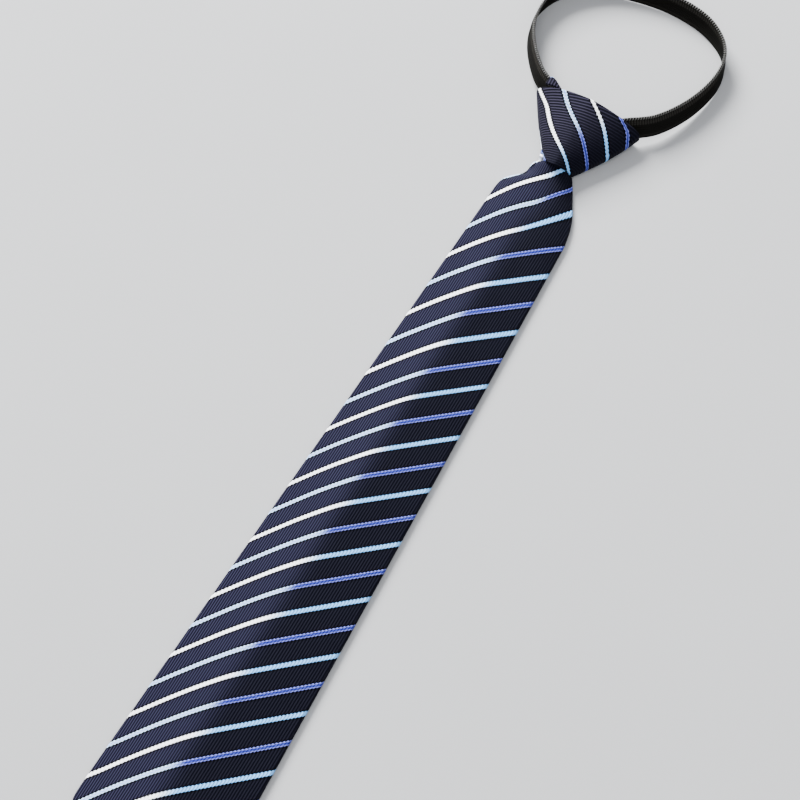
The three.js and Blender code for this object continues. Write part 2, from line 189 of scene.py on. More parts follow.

# How far the cloth has turned from the light, from 0 to 1, set by place on the cloth; it drives the painted
# light and shade of its colours
KNOT_TURN_MIDDLE = 0.475
KNOT_TURN_SLOPE = 0.6
KNOT_TURN_SHIFT = 2.4
KNOT_TURN_WIDTH = 50
BLADE_TURN_MIDDLE = 0.5
BLADE_TURN_WIDTH = 30
BLADE_TURN_SHIFT = 7
BLADE_TURN_SHIFT_SPAN = (45, 12)
# Painted shade on the blade's front near the knot, and where it fades
BLADE_NECK_SHADE = 0.3
BLADE_NECK_SHADE_SPAN = (26, 6)

# Stitches on the blade's back, their places counted from the knot's lower edge
STITCH_COUNT = 26
STITCH_START = 26
STITCH_END = 396
STITCH_REACH = 1.9
STITCH_SLANT = 1.6
STITCH_STEPS = 8
STITCH_Z = -0.04
THREAD_RADIUS = 0.16
BAR_TACK_AT = 404
BAR_TACK_WIDTH = 11
BAR_TACK_THREADS = 5
BAR_TACK_SPACING = 2.2

# The blade's and the knot's cuts of the striped cloth: the map axis its ribs follow one another on, their
# pitch, the gap between stripes, the stripe's width as a share of it, and the lit colours: the ground in
# painted light, and the painted highlight on the rib tops
BLADE_LOOK = {
    "rib_axis": 0,
    "rib_pitch": 1.36,
    "stripe_gap": BLADE_STRIPE_GAP,
    "stripe_share": 0.165,
    "ground": (0.0048, 0.0048, 0.0132),
    "lit_rib": (0.0215, 0.0205, 0.0445),
}
KNOT_LOOK = {
    "rib_axis": 1,
    "rib_pitch": 1.72,
    "stripe_gap": KNOT_STRIPE_GAP,
    "stripe_share": 0.14,
    "ground": (0.0038, 0.0035, 0.0070),
    "lit_rib": (0.031, 0.0275, 0.046),
}

# Colours of the striped cloth, lit and turned from the light, as painted light and shade
# Ground turned from the light, as painted shade; also the colour of its random darker mottle
GROUND_SHADE_AND_MOTTLE = (0.0046, 0.0046, 0.0082)
WHITE_LIT = (0.98, 0.98, 0.98)
WHITE_TURNED = (0.15, 0.42, 0.80)
BLUE_LIT = (0.13, 0.27, 0.62)
BLUE_LIT_EDGE = (0.42, 0.63, 0.86)
BLUE_TURNED = (0.005, 0.007, 0.125)
BLUE_EDGE = (0.17, 0.19, 0.56)
BLUE_TICK = (0.11, 0.15, 0.56)
# Painted shade in the ribs' grooves across the white and the blue stripes
WHITE_GROOVE_SHADE = (0.25, 0.32, 0.55)
BLUE_GROOVE_SHADE = (0.010, 0.014, 0.18)
# Black outline of the stripes, also the darkest painted shade in the ribs' grooves
OUTLINE_AND_GROOVE_SHADE = (0.0010, 0.0010, 0.0016)

# Weave of the striped cloth: spans of the turn over which its colours change between painted light and
# shade, then its ribs and threads, with the painted highlight on the rib tops and the painted shade in
# their grooves
GROUND_TURN = (0.15, 0.8)
WHITE_TURN = (0.36, 0.72)
BLUE_TURN = (0.33, 0.58)
RIB_WOBBLE = 1.2
RIB_WOBBLE_SCALE = 90
# Painted highlight on the rib tops where the cloth is lit, and painted shade in the grooves between them
LIT_RIB_POWER = 3.0
# Painted shade in the grooves between the ribs
GROOVE_SHADE_POWER = 1.3
GROOVE_SHADE_DARKNESS = 0.95
MOTTLE_SHARE = 0.25
MOTTLE_SCALE = 55
STRIPE_STEP = 0.19
STRIPE_SOFTNESS = 0.12
STRIPE_OUTLINE = (0.8, 1.25)
STRIPE_GROOVE_SHADE_SHARE = 0.22
BLUE_RIM = (0.50, 0.72)
TICK_SHARE = 0.3
TWILL_PITCH = 1.15
TWILL_SLANT = 0.55
FINE_PITCH = 0.42
FINE_HEIGHT = 0.12
STRIPE_HEIGHT = 0.5
CLOTH_RELIEF = 0.25

# Weave of the zip's tape
HERRINGBONE_PITCH = 0.9
HERRINGBONE_SLANT = 0.9
CORD_PITCH = 1.3
TAPE_RELIEF = 0.15
TAPE_DARK = (0.0025, 0.0024, 0.0020)
TAPE_PALE = (0.0072, 0.0067, 0.0057)
TAPE_BAND = (0.014, 0.013, 0.0112)
TAPE_BAND_AT = 0.72
TAPE_BAND_SPAN = (0.2, 0.05)
TAPE_BAND_SHARE = 0.35
TAPE_SEWN = (0.020, 0.0188, 0.0163)
TAPE_SEWN_SPAN = (0.42, 0.62)
TAPE_SEWN_HEIGHT = 1.5

# Camera, floor and light, the floor and the lights in metres
CAMERA_PLACE = Vector((286.3, -615.4, 1004.0))
CAMERA_YAW = math.radians(33.935)
CAMERA_PITCH = math.radians(62.354)
CAMERA_ROLL = math.radians(5.23)
CAMERA_LENS = 99
CAMERA_SENSOR = 36
FLOOR_REACH = 6
FLOOR_Z = -0.0003
LIGHT_AIM = Vector((0, -0.15, 0))
LIGHTS = [
    {"name": "key", "from": (-0.65, 0.51, 0.57), "distance": 3.2, "size": 1.5, "power": 665},
    {"name": "fill", "from": (0.3, -0.4, 1), "distance": 1.8, "size": 1.5, "power": 26},
]
SKY_COLOUR = (0.9, 0.93, 1, 1)
SKY_STRENGTH = 1.12

KNOT_BOTTOM_Y = -KNOT_HEIGHT / 2
KNOT_TOP_Y = KNOT_HEIGHT / 2
KNOT_FLOOR = KNOT_WALL + GAP
BLADE_NECK_END = KNOT_WALL / 2 + GAP

# How the blade opens out below the knot: place as a share of the mouth, half widths as shares of the
# upper one
MOUTH_ROWS = [
    {"at": 0.04, "left": 0.520, "right": 0.40},
    {"at": 0.08, "left": 0.545, "right": 0.44},
    {"at": 0.16, "left": 0.555, "right": 0.51},
    {"at": 0.24, "left": 0.620, "right": 0.58},
    {"at": 0.36, "left": 0.830, "right": 0.67},
    {"at": 0.46, "left": 0.940, "right": 0.75},
    {"at": 0.60, "left": 0.980, "right": 0.85},
    {"at": 0.76, "left": 0.990, "right": 0.93},
    {"at": 1.00, "left": 1.000, "right": 1.00},
]

# Neck loop from its left end in the knot round to its right end: place across and along as shares of
# the loop, lift of the lower edge as a share of the exit height, lean towards the neck in degrees
LOOP_ROWS = [
    (-0.22, -0.14, 1.0, 24),
    (-0.41, 0.0, 1.0, 24),
    (-0.72, 0.13, 0.8, 21),
    (-1.01, 0.36, 0.2, 16),
    (-1.1, 0.58, 0.0, 11),
    (-0.99, 0.775, 0.0, 0),
    (-0.66, 0.92, 0.0, -16),
    (-0.24, 0.985, 0.0, -24),
    (0.18, 0.995, 0.0, -26),
    (0.6, 0.94, 0.0, -20),
    (0.91, 0.8, 0.0, -4),
    (1.0, 0.6, 0.0, 10),
    (0.91, 0.35, 0.2, 18),
    (0.7, 0.128, 0.55, 26),
    (0.43, 0.0, 0.8, 32),
    (0.22, -0.11, 1.0, 38),
]

# The knot's two sides: reach from the middle as shares of its widths, bulge at half height as a share
# of the top width, and the power of the front's curve, low where it falls straight like a roof
KNOT_SIDES = {
    "left": {"bottom": 0.495, "top": 0.503, "bulge": 0.012, "power": 2},
    "right": {"bottom": 0.535, "top": 0.497, "bulge": 0.03, "power": 1.4},
}


def mix(start, end, share):
    return start + (end - start) * share


def smooth_step(low, high, value):
    share = min(max((value - low) / (high - low), 0), 1)
    return share * share * (3 - 2 * share)


def from_rows(rows, column, at):
    """Smooth value of one column of a table, with no overshoot between its rows."""
    last = len(rows) - 1
    if at <= rows[0]["at"]:
        return rows[0][column]
    if at >= rows[last]["at"]:
        return rows[last][column]
    row = max(k for k in range(last) if at >= rows[k]["at"])

    def slope(k):
        return (rows[k + 1][column] - rows[k][column]) / (rows[k + 1]["at"] - rows[k]["at"])

    def tangent(k):
        if k == 0:
            return slope(0)
        if k == last:
            return slope(last - 1)
        product = slope(k - 1) * slope(k)
        return 0 if product <= 0 else 2 * product / (slope(k - 1) + slope(k))

    span = rows[row + 1]["at"] - rows[row]["at"]
    t = (at - rows[row]["at"]) / span
    bend = span * t * (1 - t) * (tangent(row) * (1 - t) - tangent(row + 1) * t)
    return mix(rows[row][column], rows[row + 1][column], t * t * (3 - 2 * t)) + bend


def soft_noise(x, y, seed):
    return noise.noise(Vector((x, y, seed)))


def rounded(past):
    """Drop of a round edge: 0 where it begins, 1 at its end."""
    return 1 - math.sqrt(max(0, 1 - max(0, past) ** 2))


def run_lengths(points):
    """Length of the line from its first point to each of its points."""
    lengths = [0]
    for a, b in zip(points, points[1:]):
        lengths.append(lengths[-1] + (b - a).length)
    return lengths


# Mesh making

def add_ring(rows, outer, inner, marks):
    """Adds one ring of folded cloth to rows for a skin. Each mark holds an outer point's two map places."""
    rings, cloth, dyed = rows
    marks = marks + marks[::-1] + marks[:1]
    rings.append(outer + inner[::-1])
    cloth.append([mark[0] for mark in marks])
    dyed.append([mark[1] for mark in marks])


def skin(name, rings, cloth, dyed, joined=False):
    """A closed solid over rings of points: cloth and dyed hold each ring's map places, with one more
    than its points. The ends are closed by strips between opposite points, or joined last to first."""
    count = len(rings[0])
    lines = len(rings)
    vertices = [point * MM for ring in rings for point in ring]
    faces = []
    spots = []
    spans = lines if joined else lines - 1
    for i in range(spans):
        for j in range(count):
            corners = [(i, j), (i, j + 1), (i + 1, j + 1), (i + 1, j)]
            faces.append([(a % lines) * count + b % count for a, b in corners])
            spots.extend(corners)
    if not joined:
        for i in (0, lines - 1):
            for j in range(count // 2 - 1):
                corners = [(i, j), (i, j + 1), (i, count - 2 - j), (i, count - 1 - j)]
                faces.append([a * count + b for a, b in corners])
                spots.extend(corners)
    mesh = bpy.data.meshes.new(name)
    mesh.from_pydata(vertices, [], faces)
    # The second map holds the stripe number, or the place across the tape, and the turn from the light that
    # drives the painted light and shade
    for layer_name, places in (("cloth", cloth), ("dyed", dyed)):
        layer = mesh.uv_layers.new(name=layer_name)
        values = []
        for a, b in spots:
            row = places[min(a, len(places) - 1)]
            values.extend(row[b])
        layer.uv.foreach_set("vector", values)
    return finished(name, mesh)


def finished(name, mesh):
    """The mesh as a smooth object of the scene, with its faces turned outwards."""
    work = bmesh.new()
    work.from_mesh(mesh)
    bmesh.ops.recalc_face_normals(work, faces=work.faces)
    work.to_mesh(mesh)
    work.free()
    mesh.polygons.foreach_set("use_smooth", [True] * len(mesh.polygons))
    piece = bpy.data.objects.new(name, mesh)
    bpy.context.scene.collection.objects.link(piece)
    return piece


def tube_mesh(name, paths, radius, sides):
    """One mesh of round tubes with closed ends along the given paths."""
    vertices = []
    faces = []
    for path in paths:
        start = len(vertices)
        side = None
        for i, point in enumerate(path):
            ahead = (path[min(i + 1, len(path) - 1)] - path[max(i - 1, 0)]).normalized()
            if side is None:
                side = ahead.orthogonal().normalized()
            side = (side - ahead * side.dot(ahead)).normalized()
            other = ahead.cross(side)
            for j in range(sides):
                turn = 2 * math.pi * j / sides
                vertices.append((point + radius * (math.cos(turn) * side + math.sin(turn) * other)) * MM)
        for i in range(len(path) - 1):
            for j in range(sides):
                here = start + i * sides
                ahead = here + sides
                faces.append([here + j, here + (j + 1) % sides, ahead + (j + 1) % sides, ahead + j])
        faces.append([start + j for j in range(sides)])
        faces.append([start + (len(path) - 1) * sides + j for j in range(sides)])
    mesh = bpy.data.meshes.new(name)
    mesh.from_pydata(vertices, [], faces)
    return finished(name, mesh)


# Knot

def knot_half_width(share, cosine):
    side = KNOT_SIDES["right" if cosine > 0 else "left"]
    bulge = side["bulge"] * KNOT_TOP_WIDTH * math.sin(math.pi * share)
    return mix(side["bottom"] * KNOT_BOTTOM_WIDTH, side["top"] * KNOT_TOP_WIDTH, share) + bulge


def knot_point(share, angle, inset):
    cosine = math.cos(angle)
    sine = math.sin(angle)
    half_width = knot_half_width(share, cosine) - inset
    depth = mix(KNOT_BOTTOM_DEPTH, KNOT_TOP_DEPTH, share) - 2 * inset
    power = KNOT_SIDES["right" if cosine > 0 else "left"]["power"] if sine > 0 else KNOT_BACK_POWER
    reach = depth * (1 - KNOT_BELLY) if sine > 0 else -depth * KNOT_BELLY * KNOT_BACK_FLATTENING
    x = half_width * math.copysign(abs(cosine) ** (2 / power), cosine)
    z = inset + depth * KNOT_BELLY + reach * abs(sine) ** (2 / power)
    front = max(0, sine)
    arch = KNOT_TOP_ARCH * share ** 3 * front - KNOT_BOTTOM_ARCH * (1 - share) ** 3 * front ** 2
    return Vector((x, mix(KNOT_BOTTOM_Y, KNOT_TOP_Y, share) + arch, max(z, inset)))


def knot_stripe(across, point):
    """Stripe number on the knot: stripes run down to the right at 45 degrees, and on round the back."""
    place = across + point.y
    down = KNOT_TOP_Y - point.y
    leftness = smooth_step(*KNOT_SWAY_SPAN, place)
    swing = math.cos(2 * math.pi * down / (KNOT_STRIPE_SWAY_TURN * KNOT_HEIGHT))
    pull = KNOT_STRIPE_TOP_PULL * smooth_step(KNOT_STRIPE_TOP_REACH, 0, down)
    sway = KNOT_STRIPE_SWAY_SHIFT + KNOT_STRIPE_SWAY * swing - pull
    stripe_length = min(KNOT_STRIPE_RUN - KNOT_STRIPE_RUN_LOSS * (place - KNOT_STRIPE_AT), KNOT_HEIGHT)
    run = math.pi * min(max(down / max(stripe_length, 1), 0), 1)
    bend = KNOT_STRIPE_BEND * smooth_step(*KNOT_BEND_SPAN, place) * math.sin(run)
    wave = KNOT_STRIPE_WAVE * (1 - leftness) * smooth_step(*KNOT_WAVE_SPAN, place) * math.sin(2 * run)
    return 1 + (place - leftness * sway - bend + wave - KNOT_STRIPE_AT) / KNOT_STRIPE_PITCH


def knot_turn(point):
    """How far the surface has turned from the light, low at the top left and high at the lower right: the
    knot's painted light and shade, set by place.
    """
    return KNOT_TURN_MIDDLE + (point.x - KNOT_TURN_SLOPE * point.y - KNOT_TURN_SHIFT) / KNOT_TURN_WIDTH


def knot_ring(share, inset, shift, rib_place):
    """One ring from the middle of the knot's back round its right side, the front and the left side."""
    sides = 144
    front = sides // 2
    points = []
    for i in range(sides + 1):
        point = knot_point(share, -math.pi / 2 + 2 * math.pi * i / sides, inset)
        point.y += shift
        points.append(point)
    arcs = run_lengths(points)
    down = KNOT_HEIGHT - rib_place
    cloth = []
    dyed = []
    for i, (point, along) in enumerate(zip(points, arcs)):
        if i > front:
            across = arcs[front] - along
        elif i < front / 2:
            across = 2 * knot_half_width(share, 1) - point.x
        else:
            across = point.x
        crowded = down * (1 + KNOT_RIB_CROWDING * down / KNOT_HEIGHT) + KNOT_RIB_LEAN * point.x
        cloth.append((along * MM, crowded * MM))
        dyed.append((knot_stripe(across, point), knot_turn(point)))
    return points[:-1], cloth, dyed


def make_knot_wrap():
    """The hollow sleeve: up its outside, over the top rim, down the inside and round the lower rim."""
    levels = 60
    rim_steps = 6
    places = []
    for i in range(levels + 1):
        places.append((i / levels, 0, 0, KNOT_HEIGHT * i / levels))
    for i in range(1, rim_steps):
        turn = math.pi * i / rim_steps
        inset = KNOT_WALL / 2 * (1 - math.cos(turn))
        places.append((1, inset, KNOT_WALL / 2 * math.sin(turn), KNOT_HEIGHT + KNOT_WALL / 2 * turn))
    for i in range(levels // 4 + 1):
        share = 1 - i / (levels // 4)
        places.append((share, KNOT_WALL, 0, KNOT_HEIGHT * (2 - share) + KNOT_WALL))
    for i in range(1, rim_steps):
        turn = math.pi * i / rim_steps
        inset = KNOT_WALL / 2 * (1 + math.cos(turn))
        places.append((0, inset, -KNOT_WALL / 2 * math.sin(turn), -KNOT_WALL / 2 * (math.pi - turn)))
    rings = []
    cloth = []
    dyed = []
    for place in places:
        ring, cloth_row, pattern_and_shade_row = knot_ring(*place)
        rings.append(ring)
        cloth.append(cloth_row)
        dyed.append(pattern_and_shade_row)
    cloth.append(cloth[0])
    dyed.append(dyed[0])
    return skin("knot_cloth", rings, cloth, dyed, joined=True)


# Blade

def blade_lift(s):
    """Height of the blade's underside: on the knot's floor at its neck, then down on the surface."""
    return KNOT_FLOOR * (1 - smooth_step(BLADE_NECK_END, BLADE_MOUTH_LENGTH / 4, s))


def blade_half_width(s, side):
    neck = KNOT_BOTTOM_WIDTH / 2 - KNOT_WALL - GAP - BLADE_NECK_CLEARANCE
    if s <= BLADE_NECK_END:
        return neck
    upper = BLADE_UPPER_WIDTH / 2
    shoulder = BLADE_SHOULDER_WIDTH / 2
    shoulder_at = BLADE_LENGTH - BLADE_POINT_LENGTH
    if s < BLADE_MOUTH_LENGTH:
        sides = upper * from_rows(MOUTH_ROWS, side, s / BLADE_MOUTH_LENGTH)
    else:
        sides = mix(upper, shoulder, (s - BLADE_MOUTH_LENGTH) / (shoulder_at - BLADE_MOUTH_LENGTH))
    point = mix(BLADE_POINT_WIDTH / 2, shoulder, (BLADE_LENGTH - s) / BLADE_POINT_LENGTH)
    spread = math.hypot(sides - point, BLADE_SHOULDER_ROUNDING)
    even = (spread - abs(sides - point)) / 2 if s < shoulder_at / 2 else 0
    return (sides + point - spread) / 2 + even


def crown_share(outward, dome):
    """Height of the front over its folded edges, between a roof with a rounded ridge and a dome."""
    ridge = math.hypot(outward, RIDGE_ROUNDING) - RIDGE_ROUNDING
    roof = 1 - ridge / (math.hypot(1, RIDGE_ROUNDING) - RIDGE_ROUNDING)
    return mix(roof, 1 - outward ** DOME_POWER, dome)


def blade_relief(x, s, outward):
    """Soft unevenness of the pressed cloth, none at the folded edges."""
    calm = 1 - outward ** RELIEF_EDGE_POWER
    wave = 0
    for height, across, down, seed in RELIEF_WAVES:
        wave += height * soft_noise(x / across, s / down, seed)
    return wave * calm * smooth_step(0, RELIEF_START, s)


def blade_outline(s):
    """Outer and inner points of the folded cloth from the slit round the left edge, over the front and
    round the right edge back to the slit, with the index of the point on the ridge."""
    dome = 1 - smooth_step(BLADE_DOME_START, BLADE_DOME_END, s)
    thin = mix(1, BLADE_POINT_THINNING, smooth_step(BLADE_LENGTH - BLADE_POINT_LENGTH, BLADE_LENGTH, s))
    lift = blade_lift(s)
    edge = BLADE_EDGE * thin
    wall = BLADE_WALL * thin
    radius = edge / 2
    half = {-1: blade_half_width(s, "left"), 1: blade_half_width(s, "right")}
    full_rise = BLADE_CROWN_RISE * (half[-1] + half[1]) / BLADE_SHOULDER_WIDTH
    rise = mix(BLADE_NECK_RISE, full_rise, smooth_step(0, BLADE_RISE_END, s))
    front_steps = 30
    arc_steps = 6
    under_steps = 6

    def half_outline(sign):
        outer = []
        inner = []
        reach = half[sign] - radius
        inner_reach = reach - dome * wall * INNER_DRAW

        def add(points, x, z):
            points.append(Vector((sign * x, KNOT_BOTTOM_Y - s, lift + z)))

        for i in range(front_steps + 1):
            outward = i / front_steps
            crown = rise * crown_share(outward, dome)
            relief = blade_relief(sign * outward * reach, s, outward)
            add(outer, outward * reach, edge + crown + relief)
            add(inner, outward * inner_reach, edge - wall + crown + min(relief, 0))
        for i in range(1, arc_steps + 1):
            turn = math.pi / 2 - math.pi * i / arc_steps
            add(outer, reach + radius * math.cos(turn), radius + radius * math.sin(turn))
            add(inner, inner_reach + INNER_BOW * math.cos(turn), mix(edge - wall, wall, i / arc_steps))
        for i in range(1, under_steps + 1):
            x = mix(reach, BLADE_SEAM / 2, i / under_steps)
            add(outer, x, 0)
            add(inner, min(x, inner_reach), wall)
        return outer, inner

    left_outer, left_inner = half_outline(-1)
    right_outer, right_inner = half_outline(1)
    outer = left_outer[::-1] + right_outer[1:]
    inner = left_inner[::-1] + right_inner[1:]
    return outer, inner, len(left_outer) - 1


def stripe_number(p):
    """Stripe number at a place down the cloth: a little wider apart near the knot."""
    near = 1 / STRIPE_PITCH_NEAR
    far = 1 / STRIPE_PITCH_FAR
    away = p - STRIPE_CHANGE_AT
    change = math.hypot(away, STRIPE_CHANGE_ROUNDING) - STRIPE_CHANGE_ROUNDING
    return STRIPE_CHANGE_NUMBER + (near + far) / 2 * away + (far - near) / 2 * change


def blade_stripe(across, s):
    """Stripes run down to the left at 45 degrees, a little flatter right of the ridge."""
    if across > 0:
        bend = RIGHT_STRIPE_BEND * (1 - smooth_step(*RIGHT_STRIPE_BEND_SPAN, s + across))
        away = math.hypot(across, RIGHT_STRIPE_ROUNDING) - RIGHT_STRIPE_ROUNDING
        lean = RIGHT_STRIPE_LEAN * across + bend * away
    else:
        lean = across + LEFT_STRIPE_BEND * math.sin(math.pi * min(-across / LEFT_STRIPE_REACH, 1))
    return stripe_number(s + lean)


def edge_stripe(depth, s):
    """Stripe number on the turned left edge below the knot, where a stripe runs along the fold."""
    full = math.sin(math.pi * (s - EDGE_STRIPE_START) / (EDGE_STRIPE_END - EDGE_STRIPE_START))
    return (EDGE_STRIPE_WIDENING * depth + EDGE_STRIPE_FADE * (1 - full)) / BLADE_STRIPE_GAP - 1


def blade_turn(arc, s):
    """How far the front has turned from the light at a place round it, for its painted light and shade,
    with more painted shade at the neck by the knot.
    """
    shift = BLADE_TURN_SHIFT * smooth_step(*BLADE_TURN_SHIFT_SPAN, s)
    neck = BLADE_NECK_SHADE * smooth_step(*BLADE_NECK_SHADE_SPAN, s)
    return BLADE_TURN_MIDDLE + (arc - shift) / BLADE_TURN_WIDTH + neck


def blade_places():
    """Places of the rings down the blade, closer together in its mouth."""
    mouth_steps = 36
    mouth_power = 1.3
    body_steps = 130
    point_steps = 26
    body_end = BLADE_LENGTH - BLADE_POINT_LENGTH - 2 * BLADE_SHOULDER_ROUNDING
    places = [-BLADE_TUCK, -BLADE_TUCK / 2, 0, BLADE_NECK_END]
    for i in range(mouth_steps + 1):
        share = (i / mouth_steps) ** mouth_power
        places.append(mix(BLADE_NECK_END + GAP, BLADE_MOUTH_LENGTH, share))
    for i in range(1, body_steps + 1):
        places.append(mix(BLADE_MOUTH_LENGTH, body_end, i / body_steps))
    for i in range(1, point_steps + 1):
        places.append(mix(body_end, BLADE_LENGTH, i / point_steps))
    return places


def make_blade():
    rows = ([], [], [])
    for s in blade_places():
        outer, inner, middle = blade_outline(s)
        arcs = run_lengths(outer)
        left_edge = min(point.x for point in outer)
        marks = []
        for run, point in zip(arcs, outer):
            arc = run - arcs[middle]
            depth = point.x - left_edge
            if EDGE_STRIPE_START < s < EDGE_STRIPE_END and depth < EDGE_STRIPE_REACH:
                number = edge_stripe(depth, s)
            else:
                number = blade_stripe(arc, s)
            marks.append(((arc * MM, s * MM), (number, blade_turn(arc, s))))
        add_ring(rows, outer, inner, marks)
    return skin("blade_cloth", *rows)


def thread_line(reach, y, slant, arch):
    """One thread across the slit, from side to side, its ends higher by the arch."""
    line = []
    for j in range(STITCH_STEPS + 1):
        share = j / STITCH_STEPS
        rise = arch * (1 - math.sin(math.pi * share))
        line.append(Vector((reach * (2 * share - 1), y + slant * share, STITCH_Z + rise)))
    return line


def make_stitches():
    """The hand stitches that close the slit behind the blade, and the bar tack that ends them."""
    paths = []
    for i in range(STITCH_COUNT):
        y = KNOT_BOTTOM_Y - mix(STITCH_START, STITCH_END, i / (STITCH_COUNT - 1))
        paths.append(thread_line(STITCH_REACH, y, STITCH_SLANT, THREAD_RADIUS))
    for i in range(BAR_TACK_THREADS):
        y = KNOT_BOTTOM_Y - BAR_TACK_AT - BAR_TACK_SPACING * THREAD_RADIUS * i
        paths.append(thread_line(BAR_TACK_WIDTH / 2, y, 0, 0))
    return tube_mesh("slit_stitches", paths, THREAD_RADIUS, ROUND_SIDES)


# Small cloth layers at the knot's left

def layer_mesh(name, levels, steps, outer_at, inner_at, marks_at):
    """A thin layer of cloth from three functions of the shares up and across it."""
    rows = ([], [], [])
    for i in range(levels + 1):
        up = i / levels
        outer = [outer_at(up, j / steps) for j in range(steps + 1)]
        inner = [inner_at(up, j / steps) for j in range(steps + 1)]
        marks = [marks_at(up, j / steps, outer[j]) for j in range(steps + 1)]
        add_ring(rows, outer, inner, marks)
    return skin(name, *rows)


def make_knot_under_layer():
    """The edge of the layer below the wrap, which flares out at the foot and tapers to its tip."""

    def spot(up, round_share, thickness):
        share = mix(UNDER_LAYER_START, UNDER_LAYER_REACH, up)
        taper = up ** UNDER_LAYER_TAPER
        start = mix(UNDER_LAYER_FROM_DEGREES, UNDER_LAYER_TIP_DEGREES, taper)
        end = mix(UNDER_LAYER_TO_DEGREES, UNDER_LAYER_TIP_DEGREES + UNDER_LAYER_TIP_SPREAD, taper)
        angle = math.radians(mix(start, end, round_share))
        return knot_point(share, angle, -UNDER_LAYER_CLEARANCE - thickness)

    def outer_at(up, round_share):
        flare = UNDER_LAYER_FLARE * max(0, 1 - up / UNDER_LAYER_FLARE_END) ** UNDER_LAYER_FLARE_POWER
        return spot(up, round_share, UNDER_LAYER_THICKNESS * mix(1, UNDER_LAYER_THINNING, up) + flare)

    def inner_at(up, round_share):
        return spot(up, round_share, 0)

    def marks_at(up, round_share, point):
        past = UNDER_LAYER_DARKENING * max(0, round_share - UNDER_LAYER_DARK_FROM)
        number, turn = 2, UNDER_LAYER_TURN
        if UNDER_LAYER_VIOLET[0] < up < UNDER_LAYER_VIOLET[1]:
            number, turn = 1, UNDER_LAYER_VIOLET_TURN
        return (point.z * MM, point.y * MM), (number + past, turn)

    return layer_mesh("knot_under_cloth", 30, 16, outer_at, inner_at, marks_at)


def make_blade_pleat():
    """A small fold of the blade's cloth beside the knot's lower left corner, its edge a white stripe."""
    edge_ends = [Vector(end) for end in PLEAT_EDGE]
    root_ends = [Vector(end) for end in PLEAT_ROOT]

    def spot(inwards, across, rise):
        bulge = PLEAT_BULGE * math.sin(math.pi * across) * Vector(PLEAT_BULGE_WAY)
        edge = edge_ends[0].lerp(edge_ends[1], across) + bulge
        place = edge.lerp(root_ends[0].lerp(root_ends[1], across), inwards)
        roll = PLEAT_THICKNESS / 2 * rounded(1 - inwards / PLEAT_ROLL)
        z = mix(PLEAT_EDGE_Z, PLEAT_ROOT_Z, inwards) + (PLEAT_THICKNESS - roll if rise else roll)
        return Vector((place.x, place.y, z))

    def outer_at(inwards, across):
        return spot(inwards, across, True)

    def inner_at(inwards, across):
        return spot(inwards, across, False)

    def marks_at(inwards, across, point):
        depth = PLEAT_STRIPE_START + inwards * mix(*PLEAT_STRIPE_DEPTHS, across)
        return (point.x * MM, point.y * MM), (depth / BLADE_STRIPE_GAP, PLEAT_TURN)

    return layer_mesh("blade_pleat_cloth", 20, 24, outer_at, inner_at, marks_at)


def make_knot_fold():
    """The small corner of ribbed cloth that stands up behind the knot's top left corner."""
    foot_y = KNOT_TOP_Y + KNOT_TOP_ARCH + KNOT_WALL / 2 + GAP
    foot_z = TAPE_EXIT_HEIGHT + TAPE_WIDTH + COIL_DIAMETER
    half_top = KNOT_TOP_WIDTH / 2

    def spot(up, across, rise):
        left = half_top * mix(FOLD_FOOT["left"], FOLD_TIP["left"], up)
        right = half_top * mix(FOLD_FOOT["right"], FOLD_TIP["right"], up)
        roll = FOLD_WALL / 2 * rounded((up - FOLD_TIP_START) / (1 - FOLD_TIP_START))
        z = foot_z + FOLD_BULGE * math.sin(math.pi * across) + FOLD_TILT * up
        y = foot_y + FOLD_REACH * up
        return Vector((mix(left, right, across), y, z + (FOLD_WALL - roll if rise else roll)))

    def outer_at(up, across):
        return spot(up, across, True)

    def inner_at(up, across):
        return spot(up, across, False)

    def marks_at(up, across, point):
        edge = min(1, FOLD_STRIPE_GAIN * up) ** FOLD_STRIPE_POWER
        # Turn 0 paints the fold's colours fully lit
        return (point.y * MM, point.x * MM), (mix(0.5, 1, edge), 0)

    return layer_mesh("knot_fold_cloth", 24, 24, outer_at, inner_at, marks_at)


# Neck loop

def catmull(values, t):
    """Point on the smooth line through a list of values at a share of its length in rows."""
    place = t * (len(values) - 1)
    index = min(int(place), len(values) - 2)
    share = place - index

    def value(k):
        if k < 0:
            return 2 * values[0] - values[1]
        if k >= len(values):
            return 2 * values[-1] - values[-2]
        return values[k]

    a, b, c, d = (value(index + k) for k in (-1, 0, 1, 2))
    first = 0.5 * (c - a)
    second = 0.5 * (d - b)
    square = share * share
    cube = square * share
    return (
        (2 * cube - 3 * square + 1) * b
        + (cube - 2 * square + share) * first
        + (3 * square - 2 * cube) * c
        + (cube - square) * second
    )


